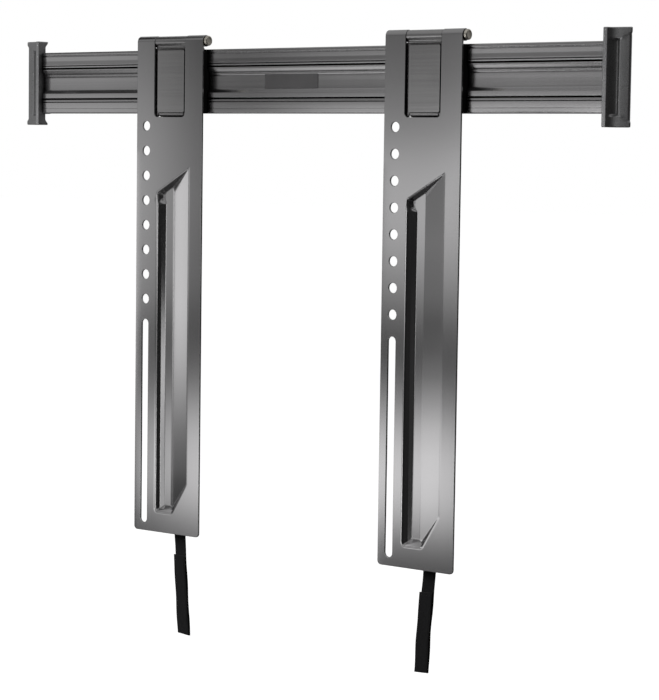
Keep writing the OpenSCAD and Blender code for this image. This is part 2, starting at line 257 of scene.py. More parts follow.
ZN = metal("slide_zinc", (0.50, 0.50, 0.49), (0.64, 0.64, 0.62), 0.28, 0.42, (300, 300, 8), 1.0, 0.03, 30, painted_shade_reach=0.006, lo=0.2, hi=0.7, floor=0.15)
RV = metal("rivet_zinc", (0.52, 0.51, 0.49), (0.66, 0.65, 0.62), 0.25, 0.38, (1, 1, 1), 900, 0.03, 60, painted_shade_reach=0.004, lo=0.2, hi=0.7, floor=0.15)
SP = metal("spring_steel", (0.45, 0.45, 0.46), (0.60, 0.60, 0.60), 0.2, 0.32, (1, 1, 1), 900, 0.02, 80, painted_shade_reach=0.003, lo=0.2, hi=0.7, floor=0.15)
CAP = lacquer = plastic("cap_moulded", (0.33, 0.33, 0.335), (0.39, 0.39, 0.395), 0.26, 0.34, 900, 0.03, 0.5, painted_shade_reach=0.014, lo=0.45, hi=0.92)
# the caps' semi-gloss coating holds metal flake
lacquer.node_tree.nodes["Principled BSDF"].inputs["Metallic"].default_value = 0.88
# Glide shoe: the part is real, and its near-black colour also stands in for the shade in the gap between bracket and
# rail (painted shade).
GLIDE_AND_SHADE = plastic("glide_moulded", (0.004, 0.004, 0.004), (0.007, 0.007, 0.007), 0.6, 0.75, 900, 0.03, 0.1)
NP = plastic("nameplate_blank", (0.035, 0.034, 0.035), (0.045, 0.044, 0.045), 0.30, 0.40, 900, 0.02)
WB = webbing("strap_weave", (0.002, 0.002, 0.0022), (0.012, 0.012, 0.0125))
TB = webbing("tab_weave", (0.0025, 0.0025, 0.0028), (0.014, 0.014, 0.0145))


# ------------------------------------------------------------------ mesh helpers
def make(name, V, F, mat, body, slot, rep=(), normals=None, sharp=None):
    me = bpy.data.meshes.new(name)
    me.from_pydata([(x * MM, y * MM, z * MM) for x, y, z in V], [], F)
    me.update()
    me.polygons.foreach_set("use_smooth", [True] * len(me.polygons))
    if normals is not None:
        me.normals_split_custom_set_from_vertices([tuple(n) for n in normals])
    elif sharp is not None:
        me.set_sharp_from_angle(angle=rad(sharp))
    me.materials.append(mat)
    o = bpy.data.objects.new(name, me)
    sc.collection.objects.link(o)
    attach(o, body)
    if rep:
        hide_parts(*rep)
    return o


def inside(loops, x, y):
    n = False
    for lp in loops:
        j = len(lp) - 1
        for i in range(len(lp)):
            (xi, yi), (xj, yj) = lp[i], lp[j]
            if (yi > y) != (yj > y) and x < (xj - xi) * (y - yi) / (yj - yi) + xi:
                n = not n
            j = i
    return n


def miters(loop):
    """Per vertex, the vector that moves it one unit to the left of the loop's direction."""
    out = []
    n = len(loop)
    for i in range(n):
        p, q, r = loop[i - 1], loop[i], loop[(i + 1) % n]
        a = Vector((q[0] - p[0], q[1] - p[1])).normalized()
        c = Vector((r[0] - q[0], r[1] - q[1])).normalized()
        na, nc = Vector((-a.y, a.x)), Vector((-c.y, c.x))
        out.append((na + nc) / max(1 + na.dot(nc), 0.2))
    return out


def arc(cx, cy, r, a0, a1, n):
    return [(cx + r * math.cos(rad(a0 + (a1 - a0) * i / n)), cy + r * math.sin(rad(a0 + (a1 - a0) * i / n)))
            for i in range(n + 1)]


def densify(loop, ts, axis=1):
    """Adds a vertex where a straight side of the loop crosses each value in ts."""
    out = []
    n = len(loop)
    for i in range(n):
        p, q = loop[i], loop[(i + 1) % n]
        out.append(p)
        a, c = p[axis], q[axis]
        if abs(a - c) < 1e-6:
            continue
        hit = [t for t in ts if min(a, c) + 0.05 < t < max(a, c) - 0.05]
        hit.sort(reverse=a > c)
        for t in hit:
            f = (t - a) / (c - a)
            out.append((p[0] + (q[0] - p[0]) * f, p[1] + (q[1] - p[1]) * f))
    return out


def plate(loops, lines, front, back, re=0.35):
    """A bent sheet from its flat cut. loops: outer counter-clockwise, holes clockwise. lines: polylines that the mesh
    follows. front and back map (s, t, drop) to a point, drop being how far the surface stands back from its face where
    the cut edge is rounded. Returns vertices, faces and normals."""
    pts, edges, ring = [], [], {}
    key = lambda p: (round(p[0], 3), round(p[1], 3))
    for lp in loops:
        mv = miters(lp)
        for d in (0.0, 0.3 * re, re):
            base = len(pts)
            for p, m in zip(lp, mv):
                q = (p[0] + m.x * d, p[1] + m.y * d)
                pts.append(Vector(q))
                ring[key(q)] = (d, -m.normalized())
            edges += [(base + i, base + (i + 1) % len(lp)) for i in range(len(lp))]
    for ln in lines:
        base = len(pts)
        pts += [Vector(p) for p in ln]
        edges += [(base + i, base + i + 1) for i in range(len(ln) - 1)]
    vs, _, fs, *_ = delaunay_2d_cdt(pts, edges, [], 0, 1e-5)
    keep = [f for f in fs if inside(loops, sum(vs[i].x for i in f) / 3, sum(vs[i].y for i in f) / 3)]
    tri = []
    for f in keep:
        p, q, r = (vs[i] for i in f)
        a2 = (q.x - p.x) * (r.y - p.y) - (q.y - p.y) * (r.x - p.x)
        if abs(a2) > 1e-9:
            tri.append(f if a2 > 0 else f[::-1])
    used = sorted({i for f in tri for i in f})
    idx = {i: k for k, i in enumerate(used)}
    n = len(used)
    V, N = [None] * (2 * n), [None] * (2 * n)
    h = 0.02
    for i in used:
        s, t = vs[i].x, vs[i].y
        d, outw = ring.get(key((s, t)), (re, None))
        drop = re - math.sqrt(max(re * re - (re - d) ** 2, 0)) if outw is not None else 0
        for side, fn in ((0, front), (1, back)):
            P = Vector(fn(s, t, drop))
            Ps = Vector(fn(s + h, t, drop)) - Vector(fn(s - h, t, drop))
            Pt = Vector(fn(s, t + h, drop)) - Vector(fn(s, t - h, drop))
            nn = Ps.cross(Pt).normalized() * (1 if side == 0 else -1)
            if outw is not None and d < re:
                o = (Ps * outw.x + Pt * outw.y).normalized()
                sn = 1 - d / re
                nn = (nn * math.sqrt(1 - sn * sn) + o * sn).normalized()
            V[idx[i] + side * n] = tuple(P)
            N[idx[i] + side * n] = nn
    F = [tuple(idx[i] for i in f) for f in tri]
    count = {}
    for f in F:
        for k in range(3):
            e = (f[k], f[(k + 1) % 3])
            count[e] = count.get(e, 0) + 1
    G = [tuple(i + n for i in reversed(f)) for f in F]
    S = [(c, a, a + n, c + n) for a, c in count if (c, a) not in count]
    return V, F + G + S, N


def smin(a, c, k):
    if k < 1e-6:
        return min(a, c)
    h = max(k - abs(a - c), 0) / k
    return min(a, c) - h * h * k / 4


def smax(a, c, k):
    return -smin(-a, -c, k)


def sstep(x, a, c):
    u = min(max((x - a) / (c - a), 0), 1)
    return u * u * (3 - 2 * u)


def bevel(o, width, seg=2, angle=40):
    w = o.modifiers.new("weld", "WELD")
    w.merge_threshold = 0.00002
    m = o.modifiers.new("bevel", "BEVEL")
    m.width, m.segments, m.limit_method, m.angle_limit = width * MM, seg, "ANGLE", rad(angle)
    m.harden_normals = False
    m.use_clamp_overlap = True
    s = o.modifiers.new("weighted", "WEIGHTED_NORMAL")
    s.keep_sharp = True


def extrude(profile, holes, x0, x1):
    """Profile (y, z) with holes, swept along X, closed at both ends."""
    loops = [profile] + holes
    V, F = [], []
    cap_pts, cap_edges = [], []
    for lp in loops:
        base, n = len(V), len(lp)
        for x in (x0, x1):
            V += [(x, y, z) for y, z in lp]
        F += [(base + i, base + (i + 1) % n, base + n + (i + 1) % n, base + n + i) for i in range(n)]
        cb = len(cap_pts)
        cap_pts += [(Vector(p), base + i, base + n + i) for i, p in enumerate(lp)]
        cap_edges += [(cb + i, cb + (i + 1) % n) for i in range(n)]
    vs, _, fs, orig, *_ = delaunay_2d_cdt([p[0] for p in cap_pts], cap_edges, [], 0, 1e-6)
    for f in fs:
        c = [sum(vs[i][k] for i in f) / 3 for k in (0, 1)]
        if not inside(loops, *c):
            continue
        ids = [orig[i][0] for i in f]
        F.append(tuple(cap_pts[i][1] for i in ids))
        F.append(tuple(cap_pts[i][2] for i in reversed(ids)))
    return V, F


def face_out(o):
    bm = bmesh.new()
    bm.from_mesh(o.data)
    bmesh.ops.recalc_face_normals(bm, faces=bm.faces)
    bm.to_mesh(o.data)
    bm.free()


def lathe_x(name, profile, y0, z0, n, *rest, **kw):
    """Profile of (x, r) turned about the line y0, z0 along X; first and last r are 0."""
    V, F = [], []
    rings = []
    for x, r in profile:
        if r < 1e-6:
            rings.append([len(V)])
            V.append((x, y0, z0))
        else:
            rings.append(list(range(len(V), len(V) + n)))
            V += [(x, y0 + r * math.cos(2 * math.pi * i / n), z0 + r * math.sin(2 * math.pi * i / n)) for i in range(n)]
    for a, c in zip(rings, rings[1:]):
        for i in range(n):
            j = (i + 1) % n
            if len(a) == 1:
                F.append((a[0], c[i], c[j]))
            elif len(c) == 1:
                F.append((a[i], c[0], a[j]))
            else:
                F.append((a[i], c[i], c[j], a[j]))
    o = make(name, V, F, *rest, **kw)
    face_out(o)
    return o


# ------------------------------------------------------------------ rail
def mirrored(d):
    return -RAIL_D + d


def wall_rail():
    top = [(0.9, 15.4), (0.5, 15.52), (0.15, 15.8), (0.0, 16.15), (0.0, 17.05), (0.18, 17.3), (0.75, 17.55), (0.75, 17.7),
           (0.2, 17.95), (0.03, 18.2), (0.0, 19.2), (0.22, 19.4), (0.26, 21), (0.36, 22.4), (0.30, 23.2), (0.05, 27.0),
           (0.5, 27.35), (0.62, 27.8), (0.5, 28.2), (0.14, 28.6), (0.05, 29.0), (0.0, 30.1), (0.15, 30.7), (0.45, 31.2),
           (0.85, 31.55), (1.3, 31.72), (1.6, 31.72), (1.8, 31.5)]
    low = [(1.8, -31.5), (1.6, -31.72), (1.25, -31.72), (0.8, -31.4), (0.45, -30.9), (0.3, -30.2), (0.26, -29.2),
           (0.10, -26.8), (0.36, -26.55), (0.36, -26.35), (0.24, -26.1), (0.03, -20.75),
           (0.2, -20.4), (0.8, -20.1), (0.8, -19.95), (0.22, -19.65), (0.0, -19.4), (0.0, -17.95), (0.15, -17.62), (0.5, -17.34), (0.9, -17.2)]
    outer = [(-RAIL_D + d, z) for d, z in top]
    outer += [(-10.7, 23.9), (-10.3, 23.5), (-7.1, 23.5), (-6.7, 23.9), (-6.7, 29.45), (-6.4, 29.75), (-0.3, 29.75), (0, 29.45),
              (0, 12), (0, 0), (0, -12), (0, -29.45), (-0.3, -29.75), (-6.4, -29.75), (-6.7, -29.45), (-6.7, -23.9), (-7.1, -23.5),
              (-10.3, -23.5), (-10.7, -23.9)]
    outer += [(-RAIL_D + d, z) for d, z in low]
    outer += [(-2.2, -17.2), (-2.2, 15.4)]
    holes = []
    for c, sg in ((15.4, 1), (17.2, -1)):
        holes.append([(-10.7, sg * (c + 2)), (-10.7, sg * 21.7), (-6.7, sg * 21.7), (-6.7, sg * (c + 2))])
        holes.append([(-5.2, sg * (c + 2)), (-5.2, sg * 27.95), (-2.2, sg * 27.95), (-2.2, sg * (c + 2))])
    # long runs along the rail, cut where the wall slots are
    V, F = extrude(outer, holes, -343.6, 343.6)
    o = make("rail_body", V, F, AL, "rail", "rail_aluminium", ["wall_rail"])
    face_out(o)
    cut_v, cut_f = [], []
    for sx in (-304.8, -203.2, 203.2, 304.8):
        for sz in (-8.5, 8.5):
            lp = arc(sx + 6, sz, 4.5, -90, 90, 12) + arc(sx - 6, sz, 4.5, 90, 270, 12)
            base, n = len(cut_v), len(lp)
            for y in (-4, 2):
                cut_v += [(x, y, z) for x, z in lp]
            cut_f += [(base + i, base + n + i, base + n + (i + 1) % n, base + (i + 1) % n) for i in range(n)]
            cut_f += [tuple(base + i for i in range(n)), tuple(base + n + i for i in reversed(range(n)))]
    me = bpy.data.meshes.new("slots")
    me.from_pydata([(x * MM, y * MM, z * MM) for x, y, z in cut_v], [], cut_f)
    cutter = bpy.data.objects.new("slots", me)
    sc.collection.objects.link(cutter)
    face_out(cutter)
    md = o.modifiers.new("slots", "BOOLEAN")
    md.operation, md.solver, md.object = "DIFFERENCE", "EXACT", cutter
    bpy.context.view_layer.update()
    dg = bpy.context.evaluated_depsgraph_get()
    new = bpy.data.meshes.new_from_object(o.evaluated_get(dg))
    o.modifiers.clear()
    old, o.data = o.data, new
    new.name = "rail_body"
    bpy.data.objects.remove(cutter)
    o.data.polygons.foreach_set("use_smooth", [True] * len(o.data.polygons))
    o.data.set_sharp_from_angle(angle=rad(32))
    wn = o.modifiers.new("weighted", "WEIGHTED_NORMAL")
    wn.keep_sharp = True
    return o


def rail_cover():
    f = [(0.9, 14.4), (0.5, 14.28), (0.15, 14.0), (0.0, 13.65), (0.02, 13.3), (0.25, 12.6), (1.2, 10.2), (1.9, 9.0), (2.3, 8.4), (2.52, 7.9),
         (2.5, 7.6), (2.42, 7.3), (2.48, 7.0), (2.7, 6.7), (2.8, 6.3), (3.05, 5.9), (3.22, 5.6), (3.06, 5.3), (3.0, 5.0),
         (3.08, 3), (3.12, 0), (3.08, -4), (3.0, -6.9), (2.95, -7.4), (2.7, -7.9), (1.9, -8.9), (0.7, -10.3), (0.25, -10.75),
         (0.03, -11.05), (0.0, -11.5), (0.0, -15.4), (0.15, -15.75), (0.5, -16.05), (0.9, -16.2)]
    bk = [(1.9, -16.2), (1.9, -12.2), (2.3, -11.8), (4.5, -9.0), (4.6, -8.4), (4.6, 7.9), (4.3, 8.9), (1.9, 13.8), (1.9, 14.4)]
    poly = [(-RAIL_D + d, z) for d, z in f + bk]
    V, F = extrude(poly, [], -343.6, 343.6)
    for lp in ([(-RAIL_D + 1.6, 13.2), (-4.8, 13.2), (-4.8, 14.35), (-4.8, 15.6), (-5.8, 15.6), (-5.8, 14.35), (-RAIL_D + 1.6, 14.35)],
               [(-RAIL_D + 1.6, -16.15), (-5.8, -16.15), (-5.8, -17.4), (-4.8, -17.4), (-4.8, -15.0), (-RAIL_D + 1.6, -15.0)]):
        base = len(V)
        v2, f2 = extrude(lp, [], -343.5, 343.5)
        V += v2
        F += [tuple(i + base for i in q) for q in f2]
    o = make("cover_body", V, F, CV, "rail", "cover_aluminium", ["rail_cover"])
    face_out(o)
    o.data.set_sharp_from_angle(angle=rad(28))
    wn = o.modifiers.new("weighted", "WEIGHTED_NORMAL")
    wn.keep_sharp = True
    return o


def nameplate():
    r = 0.8
    lp = arc(22.5 - r, 6.8 - r, r, 0, 90, 5) + arc(-43.5 + r, 6.8 - r, r, 90, 180, 5)
    lp += arc(-43.5 + r, -7.4 + r, r, 180, 270, 5) + arc(22.5 - r, -7.4 + r, r, 270, 360, 5)

    def mp(y0):
        return lambda s, t, d: (s, y0 + (d if y0 < -9.6 else -d), t)
    V, F, N = plate([lp], [], mp(-9.82), mp(-9.5), 0.12)
    return make("nameplate_blank", V, F, NP, "rail", "plate_black", ["nameplate"], N)


# ------------------------------------------------------------------ end caps
def end_cap(side):
    mid = [(-5.4, 5.8), (-5.4, 0.7), (-5.2, 0.2), (-4.7, 0.0), (-1.5, 0.0), (-1.0, 0.25), (-0.8, 0.8), (-0.6, 2.2), (-0.1, 3.8), (0.8, 5.3),
           (2.1, 6.6), (3.6, 7.4), (5.0, 7.7), (6.0, 7.6), (6.8, 7.1), (7.4, 6.6), (8.0, 6.25), (8.9, 6.2), (13, 7.0), (16.5, 7.7),
           (17.1, 7.95), (17.75, 9.0), (17.7, 9.8), (16.0, 13), (14.2, 16.2), (13.3, 18.1), (12.8, 18.2), (3.0, 18.2)]
    end = [(-5.4, 5.8), (-5.4, 0.7), (-5.2, 0.2), (-4.7, 0.0), (-1.5, 0.0), (-1.0, 0.25), (-0.8, 0.7), (-0.4, 1.6), (0.2, 2.6), (1.0, 3.6),
           (2.2, 4.4), (4.0, 4.9), (5.6, 5.2), (7.2, 5.5), (8.6, 5.7), (9.8, 5.9), (10.6, 6.05), (11.4, 6.2), (15, 6.9), (18.4, 7.6),
           (18.9, 7.85), (19.15, 8.7), (18.8, 9.5), (16.4, 13.0), (14.0, 16.4), (12.9, 18.1), (12.4, 18.2), (3.0, 18.2)]
    zs = [0, 12, 22, 30, 31.8, 32.0, 33.2, 34, 34.6, 35.2, 35.8, 36.4, 37, 37.6, 38.2, 38.8, 39.4, 40, 40.8, 41.6, 42.3, 42.75, 43.1, 43.35, 43.5]
    levels = [-z for z in reversed(zs[1:])] + zs
    V, F = [], []
    for z in levels:
        a = abs(z)
        sec = []
        for i in range(len(mid)):
            (mu, mv), (eu, ev) = mid[i], end[i]
            zt = 33.2 + max(mu - 9.0, 0) * 0.72
            w = sstep(a, zt - 0.9, zt + 0.9) if 6 < i < 21 else 0
            if 21 <= i < 27:
                w = sstep(a, 36, 40)
            sec.append((mu + (eu - mu) * w, mv + (ev - mv) * w))
        # the side towards the rail: full depth where the rail enters, a neck above it, then a foot
        if a < 31.9:
            sec += [(-5.2, 18.2), (-5.4, 18.0), (-5.4, 12.0)]
        else:
            vb = 10.3 if a < 37.3 else 10.3 + 3.7 * sstep(a, 37.3, 43.0) ** 1.1
            sec += [(vb - 18.2 - 5.4 + 0.1 + 2 * (18.2 - vb), 18.2), (-5.4 + 0.15, vb + 0.15), (-5.4, vb - 0.3)]
        n = len(sec)
        r = 1.0
        if a > 43.5 - r:
            k = r - math.sqrt(max(r * r - (a - (43.5 - r)) ** 2, 0))
            mv_ = miters(sec)
            ar = sum(sec[i - 1][0] * sec[i][1] - sec[i][0] * sec[i - 1][1] for i in range(n))
            sg = 1 if ar > 0 else -1
            sec = [(p[0] + m.normalized().x * k * sg * 0.9, p[1] + m.normalized().y * k * sg * 0.9) for p, m in zip(sec, mv_)]
        V += [((349.2 + u) * side, -18.2 + v, z) for u, v in sec]
    for k in range(len(levels) - 1):
        for i in range(n):
            j = (i + 1) % n
            F.append((k * n + i, k * n + j, (k + 1) * n + j, (k + 1) * n + i))
    F.append(tuple(range(n)))
    F.append(tuple((len(levels) - 1) * n + i for i in reversed(range(n))))
    # tongues into the rail
    for (z0, z1, y0, y1, x0) in ((19.6, 27.7, -5.0, -2.4, 327.7), (-27.7, -19.6, -5.0, -2.4, 327.7), (-12.8, 12.8, -7.7, -2.5, 331.7)):
        b0 = len(V)
        c = 0.5
        ring = [(y0 + c, z0), (y1 - c, z0), (y1, z0 + c), (y1, z1 - c), (y1 - c, z1), (y0 + c, z1), (y0, z1 - c), (y0, z0 + c)]
        cyy, czz = (y0 + y1) / 2, (z0 + z1) / 2
        for x, sh in ((x0, 0.75), (x0 + 1.5, 1.0), (344.4, 1.0)):
            V += [(side * x, cyy + (y - cyy) * sh, czz + (z - czz) * (1 - (1 - sh) * 0.3)) for y, z in ring]
        for k in (0, 8):
            F += [(b0 + k + i, b0 + k + (i + 1) % 8, b0 + k + 8 + (i + 1) % 8, b0 + k + 8 + i) for i in range(8)]
        F += [tuple(b0 + i for i in range(8)), tuple(b0 + 16 + i for i in reversed(range(8)))]
    nm = "left" if side < 0 else "right"
    o = make(nm + "_cap", V, F, CAP, "rail", "cap_plastic", [nm + "_end_cap"])
    face_out(o)
    o.data.set_sharp_from_angle(angle=rad(50))
    wn = o.modifiers.new("weighted", "WEIGHTED_NORMAL")
    wn.keep_sharp = True
    return o


# ------------------------------------------------------------------ TV bracket
R1 = 4.0          # rim radius of the trough
DEPTH = 7.0
RC = 4.0          # plan radius of the trough's corners
SHARP = [(28, -436.2), (51.17, -436.2), (76, -395.0), (76, -83.7), (28, -111.56)]


def offset_poly(loop, d):
    return [(p[0] + m.x * d, p[1] + m.y * d) for p, m in zip(loop, miters(loop))]


CORE = offset_poly(SHARP, RC)


def core_dist(s, t):
    """Distance from the trough's rim, positive inside, with rounded corners."""
    best = 1e9
    n = len(CORE)
    for i in range(n):
        (ax, ay), (cx, cy) = CORE[i], CORE[(i + 1) % n]
        ex, ey = cx - ax, cy - ay
        u = min(max(((s - ax) * ex + (t - ay) * ey) / (ex * ex + ey * ey), 0), 1)
        d = (s - ax - u * ex) ** 2 + (t - ay - u * ey) ** 2
        best = min(best, d)
    best = math.sqrt(best)
    return RC + best if inside([CORE], s, t) else RC - best


def rim(D, m, r):
    """Depth below the face across a steep wall of slope m with a rounded upper edge."""
    q = math.sqrt(1 + m * m)
    a = r * (q - 1) / m
    if D <= -a:
        return 0.0
    if D <= a / q:
        return r - math.sqrt(max(r * r - (D + a) ** 2, 0))
    return m * D


def trough(s, t, grow):
    if not (22 < s < 75 and -442 < t < -78):
        return 0.0
    w = sstep(t, -123, -113)      # the upper wall is steeper than the others
    m = 1.0 + 2.0 * w
    r = R1 - 1.6 * w
    g = rim(core_dist(s, t) + grow * T * (math.sqrt(1 + m * m) - 1) / m, m, r - grow * T)
    d2 = 0.267 * (70.6 + (0.29 if grow else 0) - s)
    k = 0.35
    d2 = smax(smin(d2, DEPTH, k), 0.0, k)
    return smin(g, d2, min(0.6, 0.7 * (g + d2)))


def bracket_face(grow, off):
    def f(s, t, drop):
        x = s - HW
        if t > PZ:
            th = (t - PZ) / 4.6
            r = R_OUT - drop if off == 0 else R_IN + drop
            return (x, PY - r * math.cos(th), PZ + r * math.sin(th))
        y = FACE + drop if off == 0 else BACK - drop
        return (x, y + trough(s, t, grow), t)
    return f


def bracket_mesh():
    te = PZ + 4.6 * rad(302)
    rows = [PZ + 4.6 * rad(a) for a in range(0, 300, 9)]
    outer = arc(4, -452.8, 4, 180, 270, 8) + arc(83, -452.8, 4, 270, 360, 8)
    outer += [(87, te), (63.75, te)] + arc(59.75, -31.2, 4, 0, -90, 8) + arc(27.25, -31.2, 4, -90, -180, 8)
    outer += [(23.25, te), (0, te)]
    outer = densify(outer, rows)
    holes = [arc(12.8, -44.2 - 25 * i, 4.8, 360, 0, 40)[:-1] for i in range(8)]
    holes.append(arc(12.8, -244.2, 4.4, 180, 0, 20) + arc(12.8, -444.2, 4.4, 0, -180, 20))
    re = 0.4
    lines = []
    for t in rows:
        lines += [[(re, t), (23.25 - re, t)], [(63.75 + re, t), (87 - re, t)]]
    # rings round the trough
    a = R1 * 0.4142
    ds = [-a + R1 * math.sin(rad(p)) for p in (-2, 0, 4, 8, 12, 16, 20, 24, 28, 32, 36, 40, 43)]
    ds += [1.25, 1.5, 1.8, 2.0, 2.2, 2.4, 2.6, 2.8, 3.0, 3.3, 4.2, 5.1, 5.8] + [6.2 + 0.2 * i for i in range(9)] + [8.2]
    for D in ds:
        if D > 3.7:
            lp = offset_poly(SHARP, D)
            lines.append(lp + [lp[0]])
            continue
        r = RC - D
        lp = []
        n = len(CORE)
        for i in range(n):
            p, q, w = CORE[i - 1], CORE[i], CORE[(i + 1) % n]
            a0 = math.atan2(q[1] - p[1], q[0] - p[0]) - math.pi / 2
            a1 = math.atan2(w[1] - q[1], w[0] - q[0]) - math.pi / 2
            while a1 < a0:
                a1 += 2 * math.pi
            k = max(3, int((a1 - a0) / rad(7)))
            lp += [(q[0] + r * math.cos(a0 + (a1 - a0) * j / k), q[1] + r * math.sin(a0 + (a1 - a0) * j / k)) for j in range(k + 1)]
        lines.append(lp + [lp[0]])
    for s in [38, 41, 42.5] + [42.9 + 0.4 * i for i in range(9)] + [49, 52, 55, 58, 61, 64, 66.5, 68.6] + [69.0 + 0.4 * i for i in range(9)]:
        lines.append([(s, -441), (s, -80)])
    for t in (-109, -111, -113, -114.5, -116, -117.5, -119, -120.5, -122, -123.5, -125, -129):
        lines.append([(24, t), (45.5, t)])
    return plate([outer] + holes, lines, bracket_face(0, 0), bracket_face(1, 1), re)


# ------------------------------------------------------------------ hook plate
HT = 1.8
WEB = -17.0       # middle of the sheet
# bends: the tongues go back and down, the apron back and down


def follow(t, start, legs):
    """Walks from start along legs of (length, turn radius signed or None, heading); returns the point and its heading."""
    (y, z), left = start, t
    for ln, r, h0 in legs:
        step = min(left, ln)
        if r is None:
            y, z, h = y + math.cos(h0) * step, z + math.sin(h0) * step, h0
        else:
            # turning about a centre at the side
            cy, cz = y - math.sin(h0) * r, z + math.cos(h0) * r
            h = h0 + step / r
            y, z = cy + math.sin(h) * r, cz - math.cos(h) * r
        left -= step
        if left <= 1e-9:
            return y, z, h
    return y + math.cos(h) * left, z + math.sin(h) * left, h


Q = math.pi / 2
TR = 1.5
TONGUE = [(Q * TR, -TR, Q), (17.0 - 9.3 - 2 * TR, None, 0.0), (Q * TR, -TR, 0.0), (31.4 - 25.5, None, -Q)]
TONGUE_T = 31.4
TONGUE_L = sum(q[0] for q in TONGUE)
APRON = [(Q * TR, TR, -Q), (17.0 - 11.2 - 2 * TR, None, 0.0), (Q * TR, -TR, 0.0), (68 - 35.6, None, -Q)]
APRON_T = -32.6
APRON_L = sum(q[0] for q in APRON)
Z_LOW = -32.6 - TR - TR     # where the apron's lower leg starts
A_OFF = sum(q[0] for q in APRON[:3])


def apron_t(z):
    return APRON_T - A_OFF - (Z_LOW - z)


def pad_height(x, t, inset):
    """Raised pad: 2 mm, rounded corners, short bevel; the lower edge is tight."""
    r = 2.6
    qx = abs(x - 1.1) - (18.4 - r)
    zc, hz = 0.4, 31.6
    qz = abs(t - zc) - (hz - r)
    d = -(math.hypot(max(qx, 0), max(qz, 0)) + min(max(qx, qz), 0) - r) - inset
    u = min(max(d / 0.9, 0), 1)
    return 2.0 * (u * u * (3 - 2 * u))


def bead(x, t):
    if abs(x) > 19.4:
        return 0.0
    e = 1 - sstep(abs(x), 18.4, 19.4)
    return 1.0 * e * max(0, 1 - ((t - 33.7) / 0.75) ** 2) ** 0.5 if abs(t - 33.7) < 0.75 else 0.0


def hook_face(side):
    sg = -1 if side == 0 else 1

    def f(x, t, drop):
        h = HT / 2 - drop
        if abs(x) > 21 and t > TONGUE_T:
            y, z, hd = follow(t - TONGUE_T, (WEB, TONGUE_T), TONGUE)
            ny, nz = -math.sin(hd), math.cos(hd)
            return (x, y + ny * h * (-sg), z + nz * h * (-sg))
        if abs(x) < 16.5 and t < APRON_T:
            y, z, hd = follow(APRON_T - t, (WEB, APRON_T), APRON)
            ny, nz = math.sin(hd), -math.cos(hd)
            return (x, y + ny * h * (-sg), z + nz * h * (-sg))
        if t > PZ:
            th = (t - PZ) / 4.4
            r = 4.4 - sg * h
            return (x, PY - r * math.cos(th), PZ + r * math.sin(th))
        y = WEB
        if t > 34.6 and abs(x) < 21:
            y -= 2.2 * sstep(t, 34.6, 39.0)
        y -= pad_height(x, t, 0 if side == 0 else 1.2)
        if side == 0:
            y -= bead(x, t)
        return (x, y + sg * h, t)
    return f


